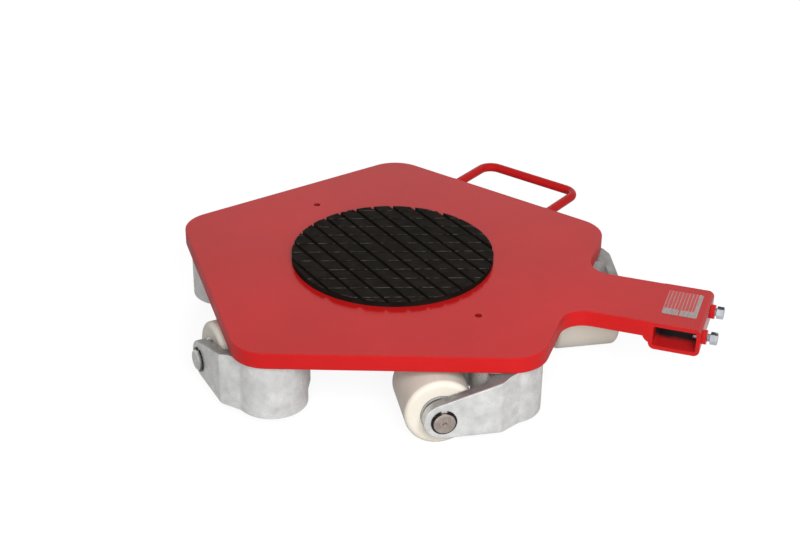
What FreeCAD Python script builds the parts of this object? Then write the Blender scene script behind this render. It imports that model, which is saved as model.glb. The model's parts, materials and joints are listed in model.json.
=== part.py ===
import FreeCAD, Part
import math
import os
import Sketcher
from FreeCAD import Placement, Rotation, Vector

# Machine skate: a five-sided steel deck on five swivelling rollers.
# Frame: +Z up, +X along the tongue, origin at the middle of the load pad's top face.

doc = FreeCAD.newDocument("machine_skate")
sheet = doc.addObject("Spreadsheet::Sheet", "sizes")

# Driving dimensions in millimetres, angles in degrees, and counts.
DIMENSIONS = {
    "deck_edge": 340,
    "deck_thickness": 20,
    "deck_height": 110,
    "deck_corner_radius": 45,
    "deck_edge_rounding": 1,
    "tongue_width": 98,
    "tongue_length": 98,
    "tongue_root_radius": 30,
    "tapped_hole_diameter": 8.5,
    "tapped_hole_reach": 174.5,
    "tapped_hole_direction": 144,
    "pad_diameter": 250,
    "pad_thickness": 8,
    "pad_turn": -39,
    "pad_groove_pitch": 22.7,
    "pad_groove_width": 4,
    "pad_groove_depth": 3.5,
    "pad_groove_shift": -3.5,
    "pad_groove_skew": 60,
    "pad_cross_shift": -2.6,
    "pad_cross_width": 2,
    "handle_bar_diameter": 12,
    "handle_leg_spacing": 146,
    "handle_shift": 3.3,
    "handle_reach": 82,
    "handle_bend_radius": 18,
    "socket_width": 60,
    "socket_height": 35,
    "socket_wall": 5,
    "socket_outer_radius": 7.5,
    "socket_inner_radius": 2.5,
    "weld_leg": 7,
    "collar_leg": 3,
    "collar_length": 5,
    "clamp_spacing": 62,
    "clamp_thread_diameter": 10,
    "clamp_nut_flats": 17,
    "clamp_nut_thickness": 5,
    "clamp_screw_length": 20,
    "clamp_head_flats": 13,
    "clamp_head_height": 8.5,
    "clamp_chamfer": 1,
    "clamp_front_gap": 3.9,
    "clamp_rear_gap": 1.9,
    "clamp_wall_clearance": 0.5,
    "label_length": 58,
    "label_width": 41,
    "label_thickness": 0.4,
    "label_inset": 8.5,
    "label_shift": 5,
    "caster_inset": 59.2,
    "caster_trail": 86,
    "swivel_front_left": -60,
    "swivel_front_right": -150,
    "swivel_rear_left": 20,
    "swivel_rear_right": 136,
    "swivel_tail": 55,
    "fork_width": 115,
    "fork_arm_thickness": 12,
    "fork_top_gap": 2,
    "fork_floor_gap": 18.5,
    "fork_boss_diameter": 45,
    "fork_shoulder": 9,
    "fork_step_start": 20,
    "fork_step_landing": 101.5,
    "fork_step_sink": 1,
    "fork_web_end": 30,
    "fork_web_radius": 8,
    "fork_step_radius": 8,
    "fork_hollow_radius": 10,
    "fork_edge_radius": 2,
    "housing_diameter": 83,
    "kingpin_diameter": 30,
    "kingpin_tail": 3,
    "bush_wall": 3,
    "bush_length": 38,
    "thrust_diameter": 47,
    "thrust_height": 11,
    "thrust_race_thickness": 3.4,
    "thrust_ball_diameter": 6,
    "thrust_ball_count": 16,
    "keeper_washer_diameter": 46,
    "keeper_washer_thickness": 3,
    "keeper_pocket_diameter": 54,
    "circlip_thickness": 1.5,
    "circlip_width": 3.5,
    "circlip_groove_depth": 1,
    "circlip_opening": 7,
    "axle_diameter": 25,
    "axle_end": 5,
    "axle_chamfer": 1.5,
    "axle_centre_diameter": 6,
    "axle_centre_depth": 3,
    "spacer_wall": 3.2,
    "roller_headroom": 8,
    "roller_width": 80,
    "roller_edge_radius": 6,
    "roller_bore_clearance": 1.5,
    "bearing_diameter": 47,
    "bearing_width": 12,
    "bearing_ring_wall": 3,
    "bearing_shield_thickness": 0.8,
    "bearing_shield_gap": 0.5,
    "bearing_ball_diameter": 6.4,
    "bearing_ball_count": 10,
    "press_clearance": 0.02,
    "running_clearance": 0.05,
    "turning_gap": 0.4,
}
for row, (name, number) in enumerate(DIMENSIONS.items(), 1):
    sheet.set(f"A{row}", name)
    sheet.set(f"B{row}", str(number))
    sheet.setAlias(f"B{row}", name)
doc.recompute()


class Size:
    """A dimension that carries its value and the sheet formula that it comes from."""

    def __init__(self, value, formula):
        self.value = value
        self.formula = formula

    def combine(self, sign, other, value):
        return Size(value, f"({self.formula} {sign} {as_size(other).formula})")

    def __add__(self, other):
        return self.combine("+", other, self.value + as_size(other).value)

    def __sub__(self, other):
        return self.combine("-", other, self.value - as_size(other).value)

    def __mul__(self, other):
        return self.combine("*", other, self.value * as_size(other).value)

    def __truediv__(self, other):
        return self.combine("/", other, self.value / as_size(other).value)

    def __neg__(self):
        return Size(-self.value, f"(-{self.formula})")

    def root(self):
        return Size(math.sqrt(self.value), f"sqrt({self.formula})")

    def whole(self):
        return Size(math.floor(self.value), f"floor({self.formula})")

    def cosine(self):
        return Size(math.cos(math.radians(self.value)), f"cos({self.formula})")

    def sine(self):
        return Size(math.sin(math.radians(self.value)), f"sin({self.formula})")


def as_size(number):
    return number if isinstance(number, Size) else Size(number, repr(number))


def dim(name):
    return Size(float(sheet.get(name)), f"sizes.{name}")


def polar(radius, angle):
    """The point at a distance and an angle in degrees from the origin."""
    angle = as_size(angle)
    return radius * angle.cosine(), radius * angle.sine()


def bind(item, prop, size):
    item.setExpression(prop, as_size(size).formula)


def place(item, x=0, y=0, z=0, swivel=None, lie=Rotation()):
    """Puts an item at a point, swivelled about Z by a sheet angle or laid over by a fixed rotation."""
    spin = Rotation(Z_AXIS, swivel.value) if swivel else lie
    item.Placement = Placement(Vector(*(as_size(size).value for size in (x, y, z))), spin)
    for axis, size in zip("xyz", (x, y, z)):
        bind(item, f"Placement.Base.{axis}", size)
    if swivel:
        bind(item, "Placement.Rotation.Angle", swivel)
    return item


def new_body(name):
    return doc.addObject("PartDesign::Body", name)


def origin_feature(body, role):
    return next(item for item in body.Origin.OriginFeatures if item.Role == role)


def sketch_on(body, role, name, offset=0):
    sketch = body.newObject("Sketcher::SketchObject", name)
    sketch.AttachmentSupport = [(origin_feature(body, role), "")]
    sketch.MapMode = "FlatFace"
    bind(sketch, "AttachmentOffset.Base.z", offset)
    return sketch


def constrain(sketch, size, *words):
    index = sketch.addConstraint(Sketcher.Constraint(*words, as_size(size).value))
    bind(sketch, f"Constraints[{index}]", size)


def fix_point(sketch, geometry, spot, point):
    for direction, size in zip(("DistanceX", "DistanceY"), point):
        constrain(sketch, size, direction, -1, 1, geometry, spot)


def draw_loop(sketch, points, arcs=None):
    """Closes a line through points. arcs gives, by run, the centre and radius of a clockwise arc."""
    arcs = arcs or {}
    first = sketch.GeometryCount
    count = len(points)
    spots = [Vector(as_size(x).value, as_size(y).value) for x, y in points]
    for run in range(count):
        start, end = spots[run], spots[(run + 1) % count]
        if run in arcs:
            centre = Vector(arcs[run][0].value, arcs[run][1].value)
            circle = Part.Circle(centre, Vector(0, 0, 1), arcs[run][2].value)
            sketch.addGeometry(Part.ArcOfCircle(circle, circle.parameter(end), circle.parameter(start)))
        else:
            sketch.addGeometry(Part.LineSegment(start, end))
    for run in range(count):
        following = (run + 1) % count
        end_spot = 1 if run in arcs else 2
        start_spot = 2 if following in arcs else 1
        joint = Sketcher.Constraint("Coincident", first + run, end_spot, first + following, start_spot)
        sketch.addConstraint(joint)
        fix_point(sketch, first + following, start_spot, points[following])
    for run, (_, _, radius) in arcs.items():
        constrain(sketch, radius, "Radius", first + run)


def draw_circle(sketch, centre, diameter):
    middle = Vector(*(as_size(size).value for size in centre))
    circle = Part.Circle(middle, Vector(0, 0, 1), as_size(diameter).value / 2)
    geometry = sketch.addGeometry(circle)
    constrain(sketch, diameter, "Diameter", geometry)
    fix_point(sketch, geometry, 3, centre)


def pad(body, sketch, length, midplane=False):
    feature = body.newObject("PartDesign::Pad", sketch.Name + "_pad")
    feature.Profile = sketch
    feature.Midplane = midplane
    bind(feature, "Length", length)
    return feature


def must_remove(body, volume):
    """A cut that points away from the solid takes nothing off, so the volume has to fall."""
    doc.recompute()
    if body.Shape.Volume >= volume:
        raise RuntimeError(f"{body.Tip.Label} removes nothing from {body.Label}")


def pocket(body, sketch, length=None):
    """Cuts a sketch's outline through the whole body, or to a depth."""
    doc.recompute()
    volume = body.Shape.Volume
    feature = body.newObject("PartDesign::Pocket", sketch.Name + "_cut")
    feature.Profile = sketch
    if length is None:
        feature.Type = "ThroughAll"
        feature.Midplane = True
    else:
        bind(feature, "Length", length)
    must_remove(body, volume)
    return feature


def turned(name, profile):
    """A body turned about its own Z axis from (radius, height) corners."""
    body = new_body(name)
    sketch = sketch_on(body, "XZ_Plane", name + "_profile")
    draw_loop(sketch, profile)
    feature = body.newObject("PartDesign::Revolution", name + "_turn")
    feature.Profile = sketch
    feature.ReferenceAxis = (sketch, ["V_Axis"])
    feature.Angle = 360
    return body


def ring(name, inner, outer, height, base=0):
    """A plain turned ring given by its diameters."""
    bottom = as_size(base)
    top = bottom + height
    return turned(name, [(inner / 2, bottom), (outer / 2, bottom), (outer / 2, top), (inner / 2, top)])


def turned_cut(body, sketch):
    """Cuts a sketch's outline out of a body all the way round the body's own Z axis."""
    doc.recompute()
    volume = body.Shape.Volume
    feature = body.newObject("PartDesign::Groove", sketch.Name + "_groove")
    feature.Profile = sketch
    feature.ReferenceAxis = (sketch, ["V_Axis"])
    feature.Angle = 360
    must_remove(body, volume)


def raceway(body, radius, height, ball_diameter):
    """Turns a round groove for balls into a race."""
    sketch = sketch_on(body, "XZ_Plane", body.Name + "_track")
    draw_circle(sketch, (radius, height), ball_diameter)
    turned_cut(body, sketch)


def hexagon(flats):
    """Corners of a hexagon by its width across flats."""
    reach = flats / (2 * math.cos(math.radians(30)))
    return [polar(reach, 60 * corner) for corner in range(6)]


def bevel(body, flats, height):
    """Turns the corners of a hexagon down to a cone at its outer face."""
    sketch = sketch_on(body, "XZ_Plane", body.Name + "_bevel")
    reach = flats * BEVEL_REACH
    drop = (reach - flats / 2) * math.tan(math.radians(BEVEL_ANGLE))
    draw_loop(sketch, [(flats / 2, height), (reach, height - drop), (reach, height)])
    turned_cut(body, sketch)


def rounded(body, test, radius, name):
    """Rounds the edges of a body that a test picks out."""
    doc.recompute()
    base = body.Tip
    edges = [f"Edge{index}" for index, edge in enumerate(base.Shape.Edges, 1) if test(edge)]
    feature = body.newObject("PartDesign::Fillet", name)
    feature.Base = (base, edges)
    bind(feature, "Radius", radius)
    doc.recompute()
    return feature


def is_along(edge, axis):
    """True for a straight edge that runs along an axis."""
    if edge.Curve.TypeId != "Part::GeomLine":
        return False
    return abs(abs(edge.Curve.Direction.dot(axis)) - 1) < NEAR


def passes(edge, **where):
    """True where an edge's middle has the coordinates given, such as x=10."""
    middle = edge.CenterOfMass
    return all(abs(getattr(middle, axis) - value) < NEAR for axis, value in where.items())


def placed(name, source, **where):
    """A copy of another item, at a place of its own."""
    copy = doc.addObject("Part::Compound", name)
    copy.Links = [source]
    return place(copy, **where)


def group(name, items):
    compound = doc.addObject("Part::Compound", name)
    compound.Links = items
    return compound


def ball_ring(name, radius, height, diameter, count):
    """A ring of loose balls about the Z axis."""
    balls = []
    for ball in range(int(count.value)):
        angle = 2 * math.pi * ball / count.value
        spot = Vector(radius.value * math.cos(angle), radius.value * math.sin(angle), as_size(height).value)
        balls.append(Part.makeSphere(diameter.value / 2, spot))
    item = doc.addObject("Part::Feature", name)
    item.Shape = Part.makeCompound(balls)
    return item


NODES = []


def node(label, item):
    """Names a finished sub-part, which is written to a file of that name."""
    item.Label = label
    NODES.append(item)


NEAR = 0.01
BEVEL_ANGLE = 30
BEVEL_REACH = 0.6
X_AXIS = Vector(1, 0, 0)
Y_AXIS = Vector(0, 1, 0)
Z_AXIS = Vector(0, 0, 1)
HALF_SIDE = 36
SIDE_ANGLE = 72

press = dim("press_clearance") * 2
running = dim("running_clearance") * 2
turning = dim("turning_gap")

deck_top = -dim("pad_thickness")
deck_under = deck_top - dim("deck_thickness")
corner_reach = dim("deck_edge") / (2 * math.sin(math.radians(HALF_SIDE)))
side_reach = dim("deck_edge") / (2 * math.tan(math.radians(HALF_SIDE)))
tongue_end = side_reach + dim("tongue_length")
half_tongue = dim("tongue_width") / 2

# Deck plate: five equal sides, the front one with the tongue, and two tapped holes for a load's bolts.
deck = new_body("deck")
place(deck, z=deck_under)
outline = sketch_on(deck, "XY_Plane", "deck_outline")
corners = [polar(corner_reach, HALF_SIDE + SIDE_ANGLE * corner) for corner in range(5)]
tongue = [(side_reach, -half_tongue), (tongue_end, -half_tongue),
          (tongue_end, half_tongue), (side_reach, half_tongue)]
draw_loop(outline, corners + tongue)
pad(deck, outline, dim("deck_thickness"))
rounded(deck, lambda edge: is_along(edge, Z_AXIS) and edge.CenterOfMass.x < side_reach.value - NEAR
        or is_along(edge, Z_AXIS) and abs(edge.CenterOfMass.y) > half_tongue.value + NEAR,
        dim("deck_corner_radius"), "deck_corners")
rounded(deck, lambda edge: is_along(edge, Z_AXIS) and passes(edge, x=side_reach.value)
        and abs(abs(edge.CenterOfMass.y) - half_tongue.value) < NEAR,
        dim("tongue_root_radius"), "tongue_roots")
half_deck = dim("deck_thickness").value / 2
rounded(deck, lambda edge: not is_along(edge, Z_AXIS) and edge.CenterOfMass.x < tongue_end.value - NEAR
        and abs(edge.CenterOfMass.z - half_deck) > NEAR,
        dim("deck_edge_rounding"), "deck_rim")
holes = sketch_on(deck, "XY_Plane", "tapped_holes")
for turn in (0, 180):
    spot = polar(dim("tapped_hole_reach"), dim("tapped_hole_direction") + turn)
    draw_circle(holes, spot, dim("tapped_hole_diameter"))
pocket(deck, holes)
node("deck_plate", deck)

# Load pad: a rubber disc glued to the middle of the deck, with a set of straight grooves and a narrower
# set that crosses it.
load_pad = new_body("pad")
place(load_pad, z=deck_top, swivel=dim("pad_turn"))
disc = sketch_on(load_pad, "XY_Plane", "pad_disc")
draw_circle(disc, (0, 0), dim("pad_diameter"))
pad(load_pad, disc, dim("pad_thickness"))
pitch = dim("pad_groove_pitch")
groove_floor = dim("pad_thickness") - dim("pad_groove_depth")
groove_top = dim("pad_thickness") + dim("pad_groove_depth")
groove_sets = {
    "groove": (as_size(0), dim("pad_groove_shift"), dim("pad_groove_width")),
    "cross_groove": (dim("pad_groove_skew"), dim("pad_cross_shift"), dim("pad_cross_width")),
}
for name, (skew, middle, width) in groove_sets.items():
    half_groove = width / 2
    grooved = dim("pad_diameter") / 2 - width
    groove = sketch_on(load_pad, "YZ_Plane", name)
    groove.AttachmentOffset = Placement(Vector(), Rotation(Y_AXIS, skew.value))
    bind(groove, "AttachmentOffset.Rotation.Angle", skew)
    before = ((grooved + middle) / pitch).whole()
    after = ((grooved - middle) / pitch).whole()
    first = middle - pitch * before
    draw_loop(groove, [(first - half_groove, groove_floor), (first + half_groove, groove_floor),
                       (first + half_groove, groove_top), (first - half_groove, groove_top)])
    groove_cut = pocket(load_pad, groove)
    groove_row = load_pad.newObject("PartDesign::LinearPattern", name + "_row")
    groove_row.Originals = [groove_cut]
    groove_row.Direction = (groove, ["H_Axis"])
    bind(groove_row, "Length", pitch * (before + after))
    bind(groove_row, "Occurrences", before + after + 1)
    load_pad.Tip = groove_row
node("load_pad", load_pad)

# Lifting handle: round bar bent to a U and welded by its ends to the deck's edge, at mid-thickness.
handle_height = deck_under + dim("deck_thickness") / 2
handle = new_body("handle")
half_span = dim("handle_leg_spacing") / 2
bend = dim("handle_bend_radius")
reach = dim("handle_reach")
side_turn = Rotation(Z_AXIS, SIDE_ANGLE - 90)
along_side = side_turn.multVec(X_AXIS)
side_middle = polar(side_reach, SIDE_ANGLE)


def on_handle_side(along):
    """The place on the handle's side of the deck at a distance from that side's middle."""
    x = side_middle[0] + along * along_side.x
    y = side_middle[1] + along * along_side.y
    return {"x": x, "y": y, "z": handle_height}


place(handle, **on_handle_side(dim("handle_shift")), lie=side_turn)
path = sketch_on(handle, "XY_Plane", "handle_path")
stations = [(-half_span, as_size(0)), (-half_span, reach - bend), (bend - half_span, reach),
            (half_span - bend, reach), (half_span, reach - bend), (half_span, as_size(0))]
bend_centres = {1: (bend - half_span, reach - bend, bend), 3: (half_span - bend, reach - bend, bend)}
spots = [Vector(x.value, y.value) for x, y in stations]
for run in range(5):
    if run in bend_centres:
        centre = Vector(bend_centres[run][0].value, bend_centres[run][1].value)
        circle = Part.Circle(centre, Z_AXIS, bend.value)
        ends = (circle.parameter(spots[run + 1]), circle.parameter(spots[run]))
        path.addGeometry(Part.ArcOfCircle(circle, *ends))
        constrain(path, bend, "Radius", run)
        fix_point(path, run, 2, stations[run])
        fix_point(path, run, 1, stations[run + 1])
    else:
        path.addGeometry(Part.LineSegment(spots[run], spots[run + 1]))
        fix_point(path, run, 1, stations[run])
        fix_point(path, run, 2, stations[run + 1])
section = sketch_on(handle, "XZ_Plane", "handle_section")
draw_circle(section, (-half_span, 0), dim("handle_bar_diameter"))
bar = handle.newObject("PartDesign::AdditivePipe", "handle_bar")
bar.Profile = section
bar.Spine = (path, [""])
node("lift_handle", handle)

# Bar socket: a rectangular tube across the tongue's end, flush with the deck and pierced for two screws.
socket_end = tongue_end + dim("socket_width")
socket_under = deck_top - dim("socket_height")
wall = dim("socket_wall")
socket = new_body("socket")
shell = sketch_on(socket, "XZ_Plane", "socket_shell")
draw_loop(shell, [(tongue_end, socket_under), (socket_end, socket_under),
                  (socket_end, deck_top), (tongue_end, deck_top)])
draw_loop(shell, [(tongue_end + wall, socket_under + wall), (socket_end - wall, socket_under + wall),
                  (socket_end - wall, deck_top - wall), (tongue_end + wall, deck_top - wall)])
pad(socket, shell, dim("tongue_width"), midplane=True)
outer_corners = [(tongue_end, socket_under), (socket_end, socket_under), (socket_end, deck_top)]
rounded(socket, lambda edge: any(is_along(edge, Y_AXIS) and passes(edge, x=x.value, z=z.value)
                                 for x, z in outer_corners),
        dim("socket_outer_radius"), "socket_outside")
inner_x = (tongue_end + wall, socket_end - wall)
inner_z = (socket_under + wall, deck_top - wall)
rounded(socket, lambda edge: any(is_along(edge, Y_AXIS) and passes(edge, x=x.value, z=z.value)
                                 for x in inner_x for z in inner_z),
        dim("socket_inner_radius"), "socket_inside")
clamp_height = deck_top - dim("socket_height") / 2
half_clamp = dim("clamp_spacing") / 2
clamp_holes = sketch_on(socket, "YZ_Plane", "clamp_holes", socket_end)
for side in (-1, 1):
    hole = dim("clamp_thread_diameter") + dim("clamp_wall_clearance") * 2
    draw_circle(clamp_holes, (half_clamp * side, clamp_height), hole)
pocket(socket, clamp_holes, wall + dim("socket_inner_radius"))
node("bar_socket", socket)

# Weld beads: a fillet under the tongue along the socket, and a collar round each leg of the handle.
leg = dim("weld_leg")
tongue_weld = new_body("tongue_weld")
bead = sketch_on(tongue_weld, "XZ_Plane", "tongue_bead")
draw_loop(bead, [(tongue_end, deck_under), (tongue_end - leg, deck_under), (tongue_end, deck_under - leg)])
pad(tongue_weld, bead, dim("tongue_width"), midplane=True)
bar_radius = dim("handle_bar_diameter") / 2
collar = turned("leg_collar", [(bar_radius, 0), (bar_radius + dim("collar_leg"), 0),
                               (bar_radius, dim("collar_length"))])
outwards = side_turn.multiply(Rotation(X_AXIS, -90))
collars = [placed(name, collar, **on_handle_side(dim("handle_shift") + half_span * side), lie=outwards)
           for name, side in (("rear_collar", -1), ("front_collar", 1))]
node("weld_beads", group("beads", [tongue_weld] + collars))

# Clamp nuts: two thin hexagon nuts welded to the socket's end wall.
nut = new_body("nut")
flats = sketch_on(nut, "XY_Plane", "nut_outline")
draw_loop(flats, hexagon(dim("clamp_nut_flats")))
draw_circle(flats, (0, 0), dim("clamp_thread_diameter") + running)
pad(nut, flats, dim("clamp_nut_thickness"))
bevel(nut, dim("clamp_nut_flats"), dim("clamp_nut_thickness"))
facing_out = Rotation(Y_AXIS, 90)
nuts = [placed(name, nut, x=socket_end, y=half_clamp * side, z=clamp_height, lie=facing_out)
        for name, side in (("nut_front", -1), ("nut_rear", 1))]
node("clamp_nuts", group("nuts", nuts))

# Clamp screws: small hexagon heads, with tips that press on the bar in the socket.
tip = dim("clamp_chamfer")
thread = dim("clamp_thread_diameter") / 2
shank = dim("clamp_screw_length")
screw = turned("screw", [(0, -shank), (thread - tip, -shank), (thread, tip - shank), (thread, 0), (0, 0)])
head = sketch_on(screw, "XY_Plane", "screw_head")
draw_loop(head, hexagon(dim("clamp_head_flats")))
pad(screw, head, dim("clamp_head_height"))
bevel(screw, dim("clamp_head_flats"), dim("clamp_head_height"))
nut_face = socket_end + dim("clamp_nut_thickness")
for name, side in (("front", -1), ("rear", 1)):
    clamp = placed(f"screw_{name}", screw, x=nut_face + dim(f"clamp_{name}_gap"), y=half_clamp * side,
                   z=clamp_height, lie=facing_out)
    node(f"clamp_screw_{name}", clamp)

# Rating label: a thin blank plate on top of the socket.
label = doc.addObject("Part::Box", "label")
bind(label, "Length", dim("label_width"))
bind(label, "Width", dim("label_length"))
bind(label, "Height", dim("label_thickness"))
place(label, x=tongue_end + dim("label_inset"), y=dim("label_shift") - dim("label_length") / 2, z=deck_top)
node("rating_label", label)

# One caster in its own frame: Z down the kingpin from the deck's underside, X towards the axle.
caster_floor = dim("deck_thickness") - dim("deck_height")
fork_top = -dim("fork_top_gap")
fork_under = caster_floor + dim("fork_floor_gap")
roller_diameter = dim("deck_height") - dim("deck_thickness") - dim("roller_headroom")
axle_height = caster_floor + roller_diameter / 2
trail = dim("caster_trail")
pin = dim("kingpin_diameter")
housing = dim("housing_diameter")
race_seat = -dim("thrust_height")
bush_top = race_seat - turning
bush_bore_end = bush_top - dim("bush_length")
washer_top = bush_bore_end - turning
washer_under = washer_top - dim("keeper_washer_thickness")
clip_under = washer_under - dim("circlip_thickness")
pin_end = clip_under - dim("kingpin_tail")
race_pocket = dim("thrust_diameter") + turning * 2
bush_diameter = pin + dim("bush_wall") * 2


def tangent_point(point, centre, radius, side):
    """Where a line from a point touches a circle, on the side above (1) or below (-1) it."""
    away_x = point[0] - centre[0]
    away_y = point[1] - centre[1]
    square = away_x * away_x + away_y * away_y
    lean = (square - radius * radius).root() * radius * side / square
    pull = radius * radius / square
    return centre[0] + away_x * pull + away_y * lean, centre[1] + away_y * pull - away_x * lean


# Fork: a cast housing round the kingpin with two arms that step outwards and reach back to the axle.
fork = new_body("fork")
boss = dim("fork_boss_diameter") / 2
axle_spot = (trail, axle_height)
shoulder = (dim("fork_shoulder"), fork_top)
landing = polar(housing / 2 - dim("fork_step_sink"), dim("fork_step_landing"))
heel = (landing[0], fork_under)
half_fork = dim("fork_width") / 2
side_view = sketch_on(fork, "XZ_Plane", "fork_side")
arm_profile = [(landing[0], fork_top), shoulder, tangent_point(shoulder, axle_spot, boss, 1),
               tangent_point(heel, axle_spot, boss, -1), heel]
draw_loop(side_view, arm_profile, {2: (trail, axle_height, boss)})
pad(fork, side_view, dim("fork_width"), midplane=True)
rounded(fork, lambda edge: abs(abs(edge.CenterOfMass.y) - half_fork.value) < NEAR
        and edge.CenterOfMass.x > shoulder[0].value + NEAR,
        dim("fork_edge_radius"), "fork_arm_round")
arm_inside = half_fork - dim("fork_arm_thickness")
fork_reach = trail + boss * 2
web = dim("fork_web_end")
curve = dim("fork_web_radius")
gap = sketch_on(fork, "XY_Plane", "fork_gap")
draw_loop(gap, [(web + curve, arm_inside), (fork_reach, arm_inside), (fork_reach, -arm_inside),
                (web + curve, -arm_inside), (web, curve - arm_inside), (web, arm_inside - curve)],
          {3: (web + curve, curve - arm_inside, curve), 5: (web + curve, arm_inside - curve, curve)})
pocket(fork, gap)
flank = (landing[0] - dim("fork_step_start"), landing[1] - half_fork)
flank_length = (flank[0] * flank[0] + flank[1] * flank[1]).root()
lean = (flank[0] / flank_length, flank[1] / flank_length)
ease = dim("fork_step_radius") * ((lean[0] + 1) / (-lean[0] + 1)).root()
step_top = dim("fork_step_start") + ease
step_foot = (dim("fork_step_start") + lean[0] * ease, half_fork + lean[1] * ease)
step = sketch_on(fork, "XY_Plane", "fork_step")
draw_loop(step, [(step_top, -half_fork), (step_foot[0], -step_foot[1]), (landing[0], -landing[1]),
                 (landing[0] - boss, -landing[1]), (landing[0] - boss, -half_fork * 2),
                 (step_top, -half_fork * 2)],
          {0: (step_top, dim("fork_step_radius") - half_fork, dim("fork_step_radius"))})
step_cut = pocket(fork, step)
other_step = fork.newObject("PartDesign::Mirrored", "fork_other_step")
other_step.Originals = [step_cut]
other_step.MirrorPlane = (origin_feature(fork, "XZ_Plane"), [""])
fork.Tip = other_step
drum = sketch_on(fork, "XY_Plane", "fork_housing", fork_under)
draw_circle(drum, (0, 0), housing)
pad(fork, drum, fork_top - fork_under)
rounded(fork, lambda edge: is_along(edge, Z_AXIS) and edge.CenterOfMass.x < 0
        and abs(edge.CenterOfMass.y) > landing[1].value - NEAR,
        dim("fork_hollow_radius"), "fork_step_hollow")
bores = sketch_on(fork, "XZ_Plane", "fork_bores")
bush_seat = bush_diameter / 2
keeper_pocket = dim("keeper_pocket_diameter") / 2
draw_loop(bores, [(0, 0), (race_pocket / 2, 0), (race_pocket / 2, race_seat), (bush_seat, race_seat),
                  (bush_seat, bush_bore_end), (keeper_pocket, bush_bore_end),
                  (keeper_pocket, caster_floor), (0, caster_floor)])
turned_cut(fork, bores)
axle_holes = sketch_on(fork, "XZ_Plane", "fork_axle_holes")
draw_circle(axle_holes, axle_spot, dim("axle_diameter") + press)
pocket(fork, axle_holes)

# Kingpin: a plain pin welded under the deck, grooved near its lower end.
groove_radius = pin / 2 - dim("circlip_groove_depth")
kingpin = turned("kingpin", [(0, 0), (pin / 2, 0), (pin / 2, washer_under), (groove_radius, washer_under),
                             (groove_radius, clip_under), (pin / 2, clip_under),
                             (pin / 2, pin_end), (0, pin_end)])

# Swivel bearing: an upper race on the kingpin, loose balls, and a lower race seated in the housing.
race = dim("thrust_race_thickness")
ball = dim("thrust_ball_diameter")
ball_circle = (dim("thrust_diameter") + pin) / 4
ball_height = race_seat / 2
track = ball + running
upper_race = ring("upper_race", pin + press, dim("thrust_diameter"), race, -race)
raceway(upper_race, ball_circle, ball_height, track)
lower_race = ring("lower_race", pin + turning * 2, race_pocket - press, race, race_seat)
raceway(lower_race, ball_circle, ball_height, track)
thrust_ring = ball_ring("thrust_ring", ball_circle, ball_height, ball, dim("thrust_ball_count"))

# Swivel bush: pressed into the housing and running on the kingpin.
bush = ring("bush", pin + running, bush_diameter - press, dim("bush_length"), bush_bore_end)

# Keeper: a washer under the housing and a circlip that holds it on the kingpin.
keeper = ring("keeper", pin + press, dim("keeper_washer_diameter"), dim("keeper_washer_thickness"),
              washer_under)


def circlip(name, groove_diameter, base):
    """A snap ring with its opening towards -Y."""
    outer = groove_diameter + dim("circlip_width") * 2
    clip = ring(name, groove_diameter, outer, dim("circlip_thickness"), base)
    slit = sketch_on(clip, "XY_Plane", name + "_slit")
    half_slit = dim("circlip_opening") / 2
    draw_loop(slit, [(-half_slit, -outer), (half_slit, -outer), (half_slit, 0), (-half_slit, 0)])
    pocket(clip, slit)
    return clip


pin_clip = circlip("pin_clip", groove_radius * 2, clip_under)

# Axle: a plain bar through both arms, centre-drilled, with a circlip outside each arm.
shaft = dim("axle_diameter")
clip_seat = half_fork + dim("circlip_thickness")
axle_tip = half_fork + dim("axle_end")
chamfer = dim("axle_chamfer")
clip_groove = shaft / 2 - dim("circlip_groove_depth")
centre_radius = dim("axle_centre_diameter") / 2
half_axle = [(centre_radius, axle_tip), (shaft / 2 - chamfer, axle_tip), (shaft / 2, axle_tip - chamfer),
             (shaft / 2, clip_seat), (clip_groove, clip_seat), (clip_groove, half_fork),
             (shaft / 2, half_fork)]
lower_half = [(radius, -height) for radius, height in reversed(half_axle)]
centre_floor = axle_tip - dim("axle_centre_depth")
axle = turned("axle_bar", [(0, centre_floor)] + half_axle + lower_half + [(0, -centre_floor)])
to_left = Rotation(X_AXIS, -90)
to_right = Rotation(Z_AXIS, 180).multiply(to_left)
place(axle, x=trail, z=axle_height, lie=to_left)


def pair(name, source):
    """Two copies of a ring on the axle, facing outwards at both ends."""
    ends = [placed(f"{name}_{end}", source, x=trail, z=axle_height, lie=facing)
            for end, facing in (("left", to_left), ("right", to_right))]
    return group(name, ends)


axle_clips = pair("axle_clip_pair", circlip("axle_clip", clip_groove * 2, half_fork))

# Roller: turned nylon with a bearing seat in each end.
half_roller = dim("roller_width") / 2
bearing_back = half_roller - dim("bearing_width")
seat = dim("bearing_diameter") / 2
through = shaft / 2 + dim("roller_bore_clearance")
rim = roller_diameter / 2
half_profile = [(rim, half_roller), (seat, half_roller), (seat, bearing_back), (through, bearing_back)]
far_profile = [(radius, -height) for radius, height in reversed(half_profile)]
roller = turned("roller_body", half_profile + far_profile)
rounded(roller, lambda edge: edge.Curve.TypeId == "Part::GeomCircle"
        and abs(edge.Curve.Radius - rim.value) < NEAR,
        dim("roller_edge_radius"), "roller_edges")
place(roller, x=trail, z=axle_height, lie=to_left)

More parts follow.
